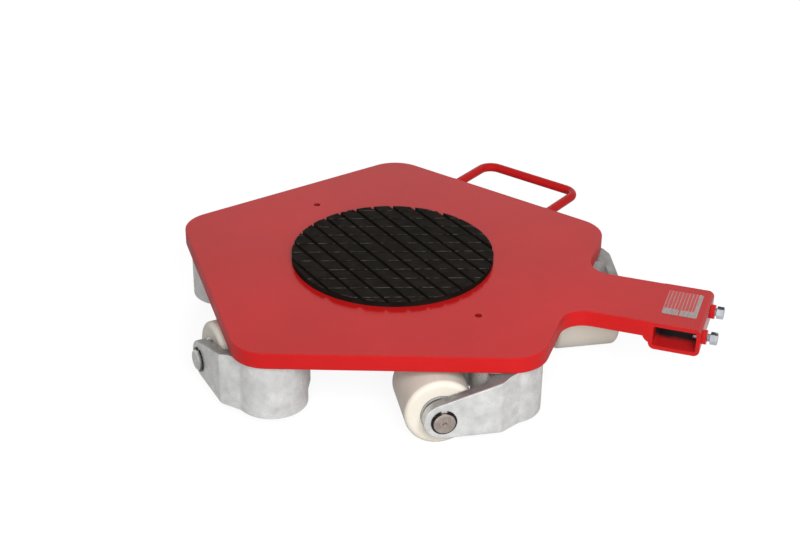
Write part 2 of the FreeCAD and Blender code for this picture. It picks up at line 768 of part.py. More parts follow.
# Roller bearings: inner rings on the axle with their balls, outer rings in the roller with their shields.
ring_wall = dim("bearing_ring_wall")
inner_face = shaft / 2 + ring_wall
outer_face = seat - ring_wall
bearing_circle = (inner_face + outer_face) / 2
bearing_middle = bearing_back + dim("bearing_width") / 2
bearing_track = dim("bearing_ball_diameter") + running
core_ring = ring("core_ring", shaft + press, inner_face * 2, dim("bearing_width"), bearing_back)
raceway(core_ring, bearing_circle, bearing_middle, bearing_track)
bearing_balls = ball_ring("bearing_balls", bearing_circle, bearing_middle, dim("bearing_ball_diameter"),
                          dim("bearing_ball_count"))
cores = group("core_pair", [pair("core_rings", core_ring), pair("core_balls", bearing_balls)])
shield = inner_face + dim("bearing_shield_gap")
shield_wall = dim("bearing_shield_thickness")
outside = seat - press / 2
front_shield = half_roller - shield_wall
back_shield = bearing_back + shield_wall
shell_ring = turned("shell_ring", [(outside, bearing_back), (outside, half_roller), (shield, half_roller),
                                   (shield, front_shield), (outer_face, front_shield),
                                   (outer_face, back_shield), (shield, back_shield),
                                   (shield, bearing_back)])
raceway(shell_ring, bearing_circle, bearing_middle, bearing_track)
shells = pair("shell_pair", shell_ring)

# Axle spacers: short sleeves between each bearing and its arm.
spacer_outside = shaft + dim("spacer_wall") * 2
spacer = ring("spacer", shaft + press, spacer_outside, arm_inside - half_roller, half_roller)
spacers = pair("spacer_pair", spacer)

# Five casters, one under each corner of the deck, each turned its own way at rest.
CASTERS = {"front_left": 36, "rear_left": 108, "tail": 180, "rear_right": -108, "front_right": -36}
CASTER_PIECES = {
    "fork": fork,
    "thrust_lower_race": lower_race,
    "swivel_bush": bush,
    "axle": axle,
    "axle_circlips": axle_clips,
    "axle_spacers": spacers,
    "bearing_cores": cores,
    "bearing_shells": shells,
    "roller": roller,
}
PIN_PIECES = {
    "kingpins": kingpin,
    "thrust_upper_races": upper_race,
    "thrust_balls": thrust_ring,
    "kingpin_washers": keeper,
    "kingpin_circlips": pin_clip,
}
pin_sets = {name: [] for name in PIN_PIECES}
for corner, direction in CASTERS.items():
    pivot = polar(corner_reach - dim("caster_inset"), direction)
    spot = {"x": pivot[0], "y": pivot[1], "z": deck_under, "swivel": dim(f"swivel_{corner}")}
    for name, source in CASTER_PIECES.items():
        node(f"{name}_{corner}", placed(f"{name}_at_{corner}", source, **spot))
    for name, source in PIN_PIECES.items():
        pin_sets[name].append(placed(f"{name}_at_{corner}", source, **spot))
for name, items in pin_sets.items():
    node(name, group(f"{name}_set", items))

doc.recompute()
failed = [item.Label for item in doc.Objects if "Invalid" in item.State or "Error" in item.State]
if failed:
    raise RuntimeError("features that failed: " + ", ".join(failed))
for item in NODES:
    if item.Shape.isNull() or not item.Shape.isValid() or not item.Shape.Solids:
        raise RuntimeError(f"{item.Label} has no valid solid")
os.makedirs("parts", exist_ok=True)
for item in NODES:
    item.Shape.exportStep(f"parts/{item.Label}.step")
print(f"{len(NODES)} sub-parts written")
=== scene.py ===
import json
import math

import bmesh
import bpy
from mathutils import Matrix, Vector


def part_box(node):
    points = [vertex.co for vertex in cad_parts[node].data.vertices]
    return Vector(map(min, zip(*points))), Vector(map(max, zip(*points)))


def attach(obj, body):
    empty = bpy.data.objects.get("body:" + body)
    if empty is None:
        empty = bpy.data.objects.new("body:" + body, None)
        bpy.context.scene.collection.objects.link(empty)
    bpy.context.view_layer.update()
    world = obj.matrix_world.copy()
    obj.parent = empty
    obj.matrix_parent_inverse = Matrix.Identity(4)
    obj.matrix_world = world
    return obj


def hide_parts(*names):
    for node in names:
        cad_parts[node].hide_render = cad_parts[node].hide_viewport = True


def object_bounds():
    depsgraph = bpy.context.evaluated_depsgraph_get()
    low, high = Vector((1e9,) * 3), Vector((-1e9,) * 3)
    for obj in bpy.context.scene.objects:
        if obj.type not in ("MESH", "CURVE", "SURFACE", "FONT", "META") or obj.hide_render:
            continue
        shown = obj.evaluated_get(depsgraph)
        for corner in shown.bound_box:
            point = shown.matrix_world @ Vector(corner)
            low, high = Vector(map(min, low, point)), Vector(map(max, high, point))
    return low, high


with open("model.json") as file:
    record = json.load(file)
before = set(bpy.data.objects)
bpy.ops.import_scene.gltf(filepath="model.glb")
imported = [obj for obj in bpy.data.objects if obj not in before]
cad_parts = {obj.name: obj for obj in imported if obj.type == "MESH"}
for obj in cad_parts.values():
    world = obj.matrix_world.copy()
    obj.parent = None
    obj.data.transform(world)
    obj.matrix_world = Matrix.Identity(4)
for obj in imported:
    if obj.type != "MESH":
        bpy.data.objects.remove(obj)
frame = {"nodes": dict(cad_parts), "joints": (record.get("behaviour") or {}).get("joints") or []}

cad_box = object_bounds()

# Deck plate: 20 mm steel flame-cut to five sides and a tongue, its arrises rounded over by grinding.
# Two holes are drilled and tapped in it before it is sprayed with gloss red enamel, which dries duller
# on the cut sides.


class Nodes:
    """A node tree that is wired up as it grows."""

    def __init__(self, tree):
        self.tree = tree

    def add(self, kind, feeds=None, out=0, **settings):
        """Adds a node, sets it up, feeds its inputs and returns one of its outputs."""
        node = self.tree.nodes.new(kind)
        for name, value in settings.items():
            setattr(node, name, value)
        for key, value in (feeds or {}).items():
            self.feed(node.inputs[key], value)
        return node.outputs[out]

    def feed(self, socket, value):
        """Links a socket to another one, or sets it."""
        if isinstance(value, bpy.types.NodeSocket):
            self.tree.links.new(value, socket)
        else:
            socket.default_value = value

    def math(self, operation, first, second=0.0):
        """One sum of two numbers."""
        return self.add("ShaderNodeMath", {0: first, 1: second}, operation=operation)


class Finish(Nodes):
    """A surface finish: what its colour, gloss and relief follow, in metres on the piece."""

    def __init__(self, name, **fixed):
        self.material = bpy.data.materials.new(name)
        self.material.use_nodes = True
        super().__init__(self.material.node_tree)
        self.shader = self.tree.nodes["Principled BSDF"].inputs
        self.surface(**fixed)
        self.here = self.add("ShaderNodeTexCoord", out="Object")

    def surface(self, **follows):
        """Links the shader's sockets to what they follow, or sets them."""
        for socket, value in follows.items():
            self.feed(self.shader[socket.replace("_", " ")], value)

    def centre_on(self, centre, axis):
        """Measures from a centre from now on, with the third coordinate along an axis."""
        turn = Vector(axis).to_track_quat("Z", "Y").to_euler()
        feeds = {"Vector": self.here, "Location": centre, "Rotation": turn}
        self.here = self.add("ShaderNodeMapping", feeds, vector_type="TEXTURE")

    def along(self, axis):
        """How far along X, Y or Z a point of the surface lies."""
        return self.add("ShaderNodeSeparateXYZ", {0: self.here}, out=axis)

    def off_axis(self, foot=(0, 0, 0)):
        """How far a point of the surface lies from a line through a foot, along the third coordinate."""
        flat = self.add("ShaderNodeVectorMath", {0: self.here, 1: (1, 1, 0)}, operation="MULTIPLY")
        return self.add("ShaderNodeVectorMath", {0: flat, 1: foot}, out="Value", operation="DISTANCE")

    def facing(self, way):
        """How the surface faces: 1 where it faces that way, 0 where it lies along it and -1 turned away."""
        normal = self.add("ShaderNodeTexCoord", out="Normal")
        return self.add("ShaderNodeVectorMath", {0: normal, 1: way}, out="Value", operation="DOT_PRODUCT")

    def noise(self, scale, detail=2.0, stretch=None):
        """Cloudy noise, so many waves to the metre, drawn out where a stretch is given."""
        at = self.here
        if stretch:
            at = self.add("ShaderNodeVectorMath", {0: at, 1: stretch}, operation="MULTIPLY")
        return self.add("ShaderNodeTexNoise", {"Vector": at, "Scale": scale, "Detail": detail}, out="Fac")

    def cells(self, scale, out="Color"):
        """Crystal cells, so many to the metre."""
        return self.add("ShaderNodeTexVoronoi", {"Vector": self.here, "Scale": scale}, out=out)

    def lathe_lines(self, pitch, on_end=False):
        """Lines left by a turning tool: along the axis, or round it on an end face."""
        settings = {"wave_type": "RINGS", "rings_direction": "Z"} if on_end else {"bands_direction": "Z"}
        unscaled_pitch = math.pi / 10
        feeds = {"Vector": self.here, "Scale": unscaled_pitch / pitch, "Distortion": 1.2, "Detail": 2.0,
                 "Detail Scale": 0.3}
        return self.add("ShaderNodeTexWave", feeds, out="Fac", **settings)

    def spread(self, value, low, high, to_low=0.0, to_high=1.0):
        """A value between two levels, spread over a new range."""
        return self.add("ShaderNodeMapRange", {"Value": value, "From Min": low, "From Max": high,
                                               "To Min": to_low, "To Max": to_high})

    def clouds(self, scale, detail, low=0.0, high=1.0):
        """Soft clouds of noise between two levels."""
        return self.spread(self.noise(scale, detail), 0.3, 0.7, low, high)

    def blend(self, share, first, second):
        """One colour turning into another."""
        return self.add("ShaderNodeMix", {0: share, 6: first, 7: second}, out=2, data_type="RGBA")

    def relief(self, height, depth, strength=1.0, over=None):
        """Bumps of a depth in metres, over coarser ones where they are given."""
        feeds = {"Height": height, "Distance": depth, "Strength": strength}
        if over:
            feeds["Normal"] = over
        return self.add("ShaderNodeBump", feeds, out="Normal")


def enamel(name, shine=0.18):
    """Gloss red enamel: clouded colour, a little dust, and the orange peel of a sprayed coat."""
    finish = Finish(name, IOR=1.5, Specular_IOR_Level=shine)
    cloud = finish.clouds(6, 4)
    red = finish.blend(cloud, (0.41, 0.0075, 0.0080, 1), (0.48, 0.0095, 0.0100, 1))
    dust = finish.spread(finish.noise(520, 2), 0.66, 0.80, 0, 0.08)
    finish.colour = finish.blend(dust, red, (0.60, 0.15, 0.13, 1))
    finish.gloss = finish.clouds(30, 4, 0.14, 0.24)
    finish.peel = finish.relief(finish.noise(190, 2), 0.0003, 0.10)
    finish.surface(Base_Color=finish.colour, Roughness=finish.gloss, Normal=finish.peel)
    return finish


def dress(finish, *nodes):
    """Gives nodes of the part their finish."""
    for node in nodes:
        for slot in frame["nodes"][node].material_slots:
            slot.material = finish.material


def heading(degrees):
    """The level direction at an angle from the one in which the tongue points."""
    return Vector((math.cos(math.radians(degrees)), math.sin(math.radians(degrees)), 0))


upright = Vector((0, 0, 1))
tapped_reach, tapped_radius = 0.1745, 0.0043
tapped_hole = heading(144) * tapped_reach
thread_pitch = 0.0015
thread_relief = 0.0006
# Painted shade: a darker red laid along the thread lines inside the two tapped holes.
thread_shade_red = (0.16, 0.010, 0.010, 1)
cut_roughness = 0.30
deck_enamel = enamel("red_enamel_deck")
to_hole = deck_enamel.math("MINIMUM", deck_enamel.off_axis(tapped_hole), deck_enamel.off_axis(-tapped_hole))
in_hole = deck_enamel.math("LESS_THAN", to_hole, tapped_radius)
thread_lines = deck_enamel.lathe_lines(thread_pitch)
# Painted shade: the thread lines in the tapped holes take the darker red.
thread_shade = deck_enamel.math("MULTIPLY", in_hole, thread_lines)
level = deck_enamel.math("ABSOLUTE", deck_enamel.facing(upright))
on_side = deck_enamel.spread(level, 0.2, 0.9, cut_roughness, 0)
deck_enamel.surface(Base_Color=deck_enamel.blend(thread_shade, deck_enamel.colour, thread_shade_red),
                    Roughness=deck_enamel.math("ADD", deck_enamel.gloss, on_side),
                    Normal=deck_enamel.relief(thread_lines, thread_relief, in_hole, deck_enamel.peel))
dress(deck_enamel, "deck_plate")

# Load pad: a moulded rubber disc glued to the middle of the deck, with two crossing sets of grooves
# that leave slanted blocks standing. The blocks' edges are softened, and those that face the front light
# are painted a paler grey as a highlight.
pad_radius = 0.125
pad_thick = 0.008
pad_sides = 180
groove_pitch = 0.0227
groove_wide, cross_wide = 0.004, 0.002
groove_shift, cross_shift = -0.0035, -0.0026
groove_deep = 0.0035
groove_turn, groove_skew = 51, 60
block_rows = 13
block_root = 0.0005
arris = 0.0006
flat_top = 0.00002
near = 0.0001
toward_front_light = heading(-69)

rubber = Finish("pad_rubber_grained", Specular_IOR_Level=0.02)
scuff = rubber.spread(rubber.noise(38, 6), 0.45, 0.75)
black = rubber.blend(scuff, (0.0085, 0.0070, 0.0058, 1), (0.0140, 0.0118, 0.0100, 1))
pad_height = rubber.along("Z")
on_arris = rubber.math("MULTIPLY", rubber.math("GREATER_THAN", pad_height, -arris),
                       rubber.math("LESS_THAN", pad_height, -flat_top))
# Painted highlight: the block edges that face the front light are painted a paler grey, in patches.
lit_arris = rubber.math("MULTIPLY", on_arris, rubber.math("GREATER_THAN", rubber.facing(toward_front_light), 0.5))
arris_highlight = rubber.math("MULTIPLY", lit_arris, rubber.spread(rubber.noise(95, 4), 0.42, 0.60))
mould_skin = rubber.relief(rubber.noise(120, 3), 0.0008, 0.25)
rubber.surface(Base_Color=rubber.blend(arris_highlight, black, (0.060, 0.055, 0.050, 1)),
               Roughness=rubber.clouds(90, 3, 0.50, 0.72),
               Normal=rubber.relief(rubber.noise(1400, 2), 0.00025, 0.35, mould_skin))


class Recipe(Nodes):
    """A geometry node tree with named sizes, which makes a plain mesh."""

    def __init__(self, name, **sizes):
        super().__init__(bpy.data.node_groups.new(name, "GeometryNodeTree"))
        self.tree.interface.new_socket("Geometry", in_out="INPUT", socket_type="NodeSocketGeometry")
        self.tree.interface.new_socket("Geometry", in_out="OUTPUT", socket_type="NodeSocketGeometry")
        self.values = {}
        kinds = {float: "Float", int: "Int", Vector: "Vector", bpy.types.Material: "Material"}
        for size, value in sizes.items():
            kind = "NodeSocket" + kinds[type(value)]
            socket = self.tree.interface.new_socket(size, in_out="INPUT", socket_type=kind)
            self.values[socket.identifier] = value
        self.given = self.tree.nodes.new("NodeGroupInput").outputs

    def vector(self, x, y, z):
        """Three numbers as one place."""
        return self.add("ShaderNodeCombineXYZ", {0: x, 1: y, 2: z})

    def vectors(self, operation, first, second):
        """One sum of two places."""
        socket = "Scale" if operation == "SCALE" else 1
        return self.add("ShaderNodeVectorMath", {0: first, socket: second}, operation=operation)

    def point(self):
        """The X, Y and Z of each point of a shape."""
        spot = self.add("GeometryNodeInputPosition")
        return [self.add("ShaderNodeSeparateXYZ", {0: spot}, out=axis) for axis in "XYZ"]

    def moved(self, shape, **where):
        """A shape with its points moved to a Position or by an Offset."""
        return self.add("GeometryNodeSetPosition", {"Geometry": shape, **where})

    def make(self, name, shape, drawn=None):
        """Ends the tree in plain geometry with its material and turns it into a mesh."""
        shape = self.add("GeometryNodeRealizeInstances", {0: shape})
        shape = self.add("GeometryNodeSetMaterial", {0: shape, "Material": self.given["Finish"]})
        self.feed(self.tree.nodes.new("NodeGroupOutput").inputs[0], shape)
        maker = bpy.data.objects.new(name + "_maker", drawn or bpy.data.meshes.new(name + "_drawn"))
        bpy.context.scene.collection.objects.link(maker)
        modifier = maker.modifiers.new("recipe", "NODES")
        modifier.node_group = self.tree
        for identifier, value in self.values.items():
            modifier[identifier] = value
        made = maker.evaluated_get(bpy.context.evaluated_depsgraph_get())
        mesh = bpy.data.meshes.new_from_object(made)
        bpy.data.objects.remove(maker)
        return mesh


def closed(mesh, sharp=35):
    """Merges a mesh's doubles, turns its faces outwards and shades it smooth up to an angle in degrees."""
    shape = bmesh.new()
    shape.from_mesh(mesh)
    bmesh.ops.remove_doubles(shape, verts=shape.verts, dist=1e-6)
    bmesh.ops.recalc_face_normals(shape, faces=shape.faces)
    shape.to_mesh(mesh)
    shape.free()
    mesh.shade_smooth()
    mesh.set_sharp_from_angle(angle=math.radians(sharp))


def fit(name, mesh, body, node):
    """Puts a finished mesh on its body in place of the node it stands for."""
    piece = bpy.data.objects.new(name, mesh)
    bpy.context.scene.collection.objects.link(piece)
    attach(piece, body)
    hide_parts(node)


across_groove = heading(groove_turn)
across_cross = heading(groove_turn + groove_skew)
slant = across_groove.cross(across_cross).z
pad = Recipe("grooved_pad", Finish=rubber.material, Radius=pad_radius, Thickness=pad_thick, Sides=pad_sides,
             Pitch=groove_pitch, Depth=groove_deep, Land=groove_pitch - groove_wide,
             Cross_Land=groove_pitch - cross_wide, Chamfer=arris, Root=block_root, Rows=block_rows,
             Start=Vector((groove_pitch / 2 + groove_shift, groove_pitch / 2 + cross_shift, 0)),
             Along_First=Vector((across_cross.y, -across_cross.x, 0)) / slant,
             Along_Cross=Vector((-across_groove.y, across_groove.x, 0)) / slant)
size = pad.given
field = pad.math("MULTIPLY", size["Pitch"], pad.math("SUBTRACT", size["Rows"], 1))
lattice = pad.add("GeometryNodeMeshGrid", {"Size X": field, "Size Y": field,
                                           "Vertices X": size["Rows"], "Vertices Y": size["Rows"]})
lattice = pad.moved(lattice, Offset=size["Start"])

tall = pad.math("ADD", size["Depth"], size["Root"])
half_tall = pad.math("DIVIDE", tall, 2.0)
block = pad.add("GeometryNodeMeshCube", {"Size": pad.vector(size["Land"], size["Cross_Land"], tall),
                                         "Vertices Z": 3})
x, y, z = pad.point()
on_top = pad.math("GREATER_THAN", z, near)
midway = pad.math("LESS_THAN", pad.math("ABSOLUTE", z), near)
both_arrises = pad.math("MULTIPLY", pad.math("MULTIPLY", size["Chamfer"], 2.0), on_top)
narrowed = [pad.math("SUBTRACT", 1.0, pad.math("DIVIDE", both_arrises, size[land]))
            for land in ("Land", "Cross_Land")]
lift = pad.math("MULTIPLY", midway, pad.math("SUBTRACT", half_tall, size["Chamfer"]))
chamfered = pad.vector(pad.math("MULTIPLY", x, narrowed[0]), pad.math("MULTIPLY", y, narrowed[1]),
                       pad.math("ADD", z, lift))
block = pad.moved(block, Position=chamfered)
block = pad.moved(block, Offset=pad.vector(0.0, 0.0, pad.math("MULTIPLY", half_tall, -1.0)))

blocks = pad.add("GeometryNodeInstanceOnPoints", {"Points": lattice, "Instance": block})
blocks = pad.add("GeometryNodeRealizeInstances", {0: blocks})
slanted = pad.vectors("ADD", pad.vectors("SCALE", size["Along_First"], x),
                      pad.vectors("SCALE", size["Along_Cross"], y))
blocks = pad.moved(blocks, Position=pad.vectors("ADD", slanted, pad.vector(0.0, 0.0, z)))
rim_cutter = pad.add("GeometryNodeMeshCylinder", {"Vertices": size["Sides"], "Radius": size["Radius"],
                                                  "Depth": pad.math("MULTIPLY", size["Thickness"], 4.0)})
trimmed = pad.add("GeometryNodeMeshBoolean", {1: blocks}, operation="INTERSECT")
pad.feed(trimmed.node.inputs[1], rim_cutter)

base_thick = pad.math("SUBTRACT", size["Thickness"], size["Depth"])
base_middle = pad.math("SUBTRACT", pad.math("DIVIDE", base_thick, 2.0), size["Thickness"])
base = pad.add("GeometryNodeMeshCylinder", {"Vertices": size["Sides"], "Radius": size["Radius"],
                                            "Depth": base_thick})
base = pad.moved(base, Offset=pad.vector(0.0, 0.0, base_middle))
whole_pad = pad.add("GeometryNodeJoinGeometry", {0: trimmed})
pad.feed(whole_pad.node.inputs[0], base)
pad_mesh = pad.make("load_pad_grooved", whole_pad)
closed(pad_mesh)
fit("load_pad_grooved", pad_mesh, "deck", "load_pad")

# Lifting handle, bar socket and clamp nuts: bent round bar, a length of rectangular tube and two nuts,
# all of mild steel, welded to the deck and its tongue and sprayed in the same red enamel.
# The spray reaches only a little way into the tube, and deeper in the bore is painted near black as shade;
# the handle is duller from being held.
dress(enamel("red_enamel_handle", shine=0.08), "lift_handle")
dress(enamel("red_enamel_nuts"), "clamp_nuts")

tube_low, tube_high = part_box("bar_socket")
tube_middle = (tube_low + tube_high) / 2
tube_wall = 0.005
half_wide, half_high = ((tube_high - tube_low) / 2).xz
just_inside = 0.0005
bare_half, sprayed_half = 0.019, 0.029
bare_steel_in_shade = (0.010, 0.006, 0.006, 1)
dry_spray = 0.35
socket_enamel = enamel("red_enamel_socket")


def past_bore(axis, middle, half):
    """How far a point of the tube lies past the bore's wall along an axis, less than zero inside it."""
    from_middle = socket_enamel.math("SUBTRACT", socket_enamel.along(axis), middle)
    bore = half - tube_wall + just_inside
    return socket_enamel.math("SUBTRACT", socket_enamel.math("ABSOLUTE", from_middle), bore)


past_wall = socket_enamel.math("MAXIMUM", past_bore("X", tube_middle.x, half_wide),
                               past_bore("Z", tube_middle.z, half_high))
in_bore = socket_enamel.math("LESS_THAN", past_wall, 0.0)
ragged = socket_enamel.clouds(90, 3, -0.003, 0.003)
to_end = socket_enamel.math("ADD", socket_enamel.math("ABSOLUTE", socket_enamel.along("Y")), ragged)
# Painted shade: deep in the bore, where the spray does not reach, the colour turns near black.
deep_in_bore = socket_enamel.spread(to_end, bare_half, sprayed_half, 1, 0)
unsprayed_and_shaded = socket_enamel.math("MULTIPLY", in_bore, deep_in_bore)
dull = socket_enamel.math("MULTIPLY", in_bore, dry_spray)
socket_enamel.surface(Base_Color=socket_enamel.blend(unsprayed_and_shaded, socket_enamel.colour, bare_steel_in_shade),
                      Roughness=socket_enamel.math("ADD", socket_enamel.gloss, dull))
dress(socket_enamel, "bar_socket")

# Weld beads: a fillet under the tongue along the socket and a collar round each leg of the handle.
# Each is a row of overlapping ripples from the welding arc, painted over with the rest.
deck_edge, deck_sides = 0.340, 5
deck_low, deck_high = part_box("deck_plate")
side_out = heading(360 / deck_sides)
side_along = heading(360 / deck_sides - 90)
handle_shift, half_span = 0.0033, 0.073
bar_radius = 0.006
fillet_radius, fillet_pitch, fillet_flatness = 0.0072, 0.0038, 0.42
fillet_sink, fillet_short = 0.0023, 0.0001
half_fillet = tube_high.y - fillet_short
collar_radius, collar_pitch = 0.0024, 0.0026
collar_stand, collar_clear = 0.0009, 0.0008
collar_steps = 48
weld_enamel = enamel("red_enamel_weld")


def weld_bead(name, run, radius, pitch, flatness=1.0, lean=0.0):
    """A bead of overlapping ripples laid along a run of points, round or flattened and leaning."""
    line = bpy.data.meshes.new(name + "_run")
    line.from_pydata(run, [(step, step + 1) for step in range(len(run) - 1)], [])
    bead = Recipe(name, Finish=weld_enamel.material, Radius=radius, Pitch=pitch, Ripple=0.12, Swell=0.6,
                  Unevenness=0.20, Waves=170.0, Step=0.0005, Sides=24,
                  Section=Vector((1.0, flatness, 1.0)), Lean=Vector((0, 0, math.radians(lean))))
    size = bead.given
    path = bead.add("GeometryNodeMeshToCurve", {0: size["Geometry"]})
    path = bead.add("GeometryNodeResampleCurve", {"Curve": path, "Length": size["Step"]}, mode="LENGTH")
    along = bead.add("GeometryNodeSplineParameter", out="Length")
    wave = bead.math("POWER", bead.math("FRACT", bead.math("DIVIDE", along, size["Pitch"])), size["Swell"])
    wave = bead.math("MULTIPLY", bead.math("SUBTRACT", wave, size["Swell"]), size["Ripple"])
    uneven = bead.add("ShaderNodeTexNoise", {"Scale": size["Waves"], "Detail": 2.0}, out="Fac")
    uneven = bead.math("MULTIPLY", bead.math("SUBTRACT", uneven, 0.5), size["Unevenness"])
    thick = bead.math("MULTIPLY", size["Radius"], bead.math("ADD", 1.0, bead.math("ADD", wave, uneven)))
    section = bead.add("GeometryNodeCurvePrimitiveCircle", {"Resolution": size["Sides"], "Radius": 1.0})
    section = bead.add("GeometryNodeTransform", {"Geometry": section, "Rotation": size["Lean"],
                                                 "Scale": size["Section"]})
    shape = bead.add("GeometryNodeCurveToMesh", {"Curve": path, "Profile Curve": section, "Scale": thick,
                                                 "Fill Caps": True})
    return bead.make(name, shape, line)


def joined(name, finish, *meshes):
    """Several meshes as one, all of one finish."""
    whole = bmesh.new()
    for mesh in meshes:
        whole.from_mesh(mesh)
    for face in whole.faces:
        face.material_index = 0
    one = bpy.data.meshes.new(name)
    whole.to_mesh(one)
    whole.free()
    one.materials.append(finish.material)
    return one


fillet_run = [(tube_low.x - fillet_sink, half_fillet * end, deck_low.z - fillet_sink) for end in (-1, 1)]
beads = [weld_bead("tongue_bead", fillet_run, fillet_radius, fillet_pitch, fillet_flatness, lean=45)]
side_reach = deck_edge / 2 / math.tan(math.pi / deck_sides)
side_middle = side_out * side_reach + upright * (deck_low.z + deck_high.z) / 2
for count, side in enumerate((-1, 1)):
    centre = side_middle + side_along * (handle_shift + half_span * side) + side_out * collar_stand
    turns = [2 * math.pi * step / collar_steps for step in range(collar_steps + 1)]
    ring = [centre + (side_along * math.cos(turn) + upright * math.sin(turn)) * (bar_radius + collar_clear)
            for turn in turns]
    beads.append(weld_bead(f"collar_bead_{count}", ring, collar_radius, collar_pitch))
bead_mesh = joined("weld_beads_rippled", weld_enamel, *beads)
closed(bead_mesh)
fit("weld_beads_rippled", bead_mesh, "deck", "weld_beads")

# Clamp screws: hexagon-head screws of bright zinc-plated steel, rolled thread with a chamfered tip.
# They run in the welded nuts and press on the bar in the socket. Their tops are painted darker as shade.
head_flats = 0.013
head_tall = 0.0085
head_dish = 0.0003
land_share, dish_share = 0.95, 0.9
screw_radius = 0.005
tip_radius = 0.004
thread_deep = 0.0008


def zinc_plate(name):
    """Bright zinc plating: cool silver, faintly clouded and drawn, painted darker as shade where it faces
    up.
    """
    finish = Finish(name, Metallic=1.0)
    cloud = finish.clouds(150, 3)
    silver = finish.blend(cloud, (0.50, 0.53, 0.57, 1), (0.66, 0.68, 0.72, 1))
    on_top = finish.spread(finish.facing(upright), 0.60, 0.95)
    # Painted shade: facets that face up are painted near black in patches.
    top_facet_shade = finish.math("MULTIPLY", on_top, finish.spread(finish.noise(170, 3), 0.25, 0.45))
    finish.surface(Base_Color=finish.blend(top_facet_shade, silver, (0.030, 0.030, 0.034, 1)),
                   Roughness=finish.clouds(320, 3, 0.06, 0.14),
                   Normal=finish.relief(finish.noise(900, 2, (0.15, 1, 1)), 0.0001, 0.2))
    return finish


plated = zinc_plate("bright_zinc_plated")


def hex_head(name, seat, around=72):
    """A hexagon head on a seat that faces +X, its corners cut by a cone and its top a little dished."""
    half = head_flats / 2
    land = half * land_share
    cone = math.tan(math.radians(30))
    turns = [2 * math.pi * step / around for step in range(around)]
    reach = [half / math.cos((turn % (math.pi / 3)) - math.pi / 6) for turn in turns]
    levels = [[(0.0, out) for out in reach],
              [(head_tall - max(0.0, out - land) * cone, out) for out in reach],
              [(head_tall, land)] * around,
              [(head_tall - head_dish, land * dish_share)] * around]
    shape = bmesh.new()
    rings = [[shape.verts.new(seat + Vector((rise, out * math.cos(turn), out * math.sin(turn))))
              for (rise, out), turn in zip(level, turns)] for level in levels]
    for lower, upper in zip(rings, rings[1:]):
        for step in range(around):
            after = (step + 1) % around
            shape.faces.new((lower[step], lower[after], upper[after], upper[step]))
    shape.faces.new(rings[0])
    shape.faces.new(rings[-1])
    head = bpy.data.meshes.new(name)
    shape.to_mesh(head)
    shape.free()
    return head


def rolled_thread(name, tip, length):
    """A threaded shank along +X from its tip, wound from a flat sheet and closed at both ends."""
    screw = Recipe(name, Finish=plated.material, Radius=screw_radius, Tip=tip_radius, Pitch=thread_pitch,
                   Depth=thread_deep, Length=length, Around=41, Rows=160, Tip_Place=tip)
    size = screw.given
    span = screw.math("ADD", size["Length"], screw.math("ADD", size["Tip"], size["Radius"]))
    sheet = screw.add("GeometryNodeMeshGrid", {"Size X": 2 * math.pi, "Size Y": span,
                                               "Vertices X": size["Around"], "Vertices Y": size["Rows"]})
    turn, run, _ = screw.point()
    run = screw.math("SUBTRACT", screw.math("ADD", run, screw.math("DIVIDE", span, 2.0)), size["Tip"])
    along = screw.math("MINIMUM", screw.math("MAXIMUM", run, 0.0), size["Length"])
    helix = screw.math("FRACT", screw.math("SUBTRACT", screw.math("DIVIDE", along, size["Pitch"]),
                                           screw.math("DIVIDE", turn, 2 * math.pi)))
    flank = screw.math("ABSOLUTE", screw.math("SUBTRACT", screw.math("MULTIPLY", helix, 2.0), 1.0))
    out = screw.math("SUBTRACT", size["Radius"], screw.math("MULTIPLY", size["Depth"], flank))
    out = screw.math("MINIMUM", out, screw.math("ADD", run, size["Tip"]))
    to_head = screw.math("SUBTRACT", screw.math("ADD", size["Length"], size["Radius"]), run)
    out = screw.math("MINIMUM", out, to_head)
    wound = screw.vector(along, screw.math("MULTIPLY", out, screw.math("COSINE", turn)),
                         screw.math("MULTIPLY", out, screw.math("SINE", turn)))
    return screw.make(name, screw.moved(sheet, Position=screw.vectors("ADD", wound, size["Tip_Place"])))


for end in ("front", "rear"):
    screw_low, screw_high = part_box(f"clamp_screw_{end}")
    screw_line = (screw_low + screw_high) / 2
    seat = Vector((screw_high.x - head_tall, screw_line.y, screw_line.z))
    tip = Vector((screw_low.x, screw_line.y, screw_line.z))
    screw_mesh = joined(f"clamp_screw_{end}_threaded", plated, hex_head(f"head_{end}", seat),
                        rolled_thread(f"thread_{end}", tip, seat.x - tip.x))
    closed(screw_mesh, sharp=28)
    fit(f"clamp_screw_{end}_threaded", screw_mesh, f"clamp_{end}", f"clamp_screw_{end}")

# Rating label: a thin aluminium foil plate stuck on top of the socket, with rounded corners.
# It is left blank, with only the printed rules of its empty table.
label_low, label_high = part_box("rating_label")
label_round = 0.0025
label_bevel = 0.00012
corner_steps = 6
column_pitch, column_gap = 0.0041, 0.18
table_front, table_end = 0.014, 0.005
rule_place, rule_half = 0.0195, 0.0009

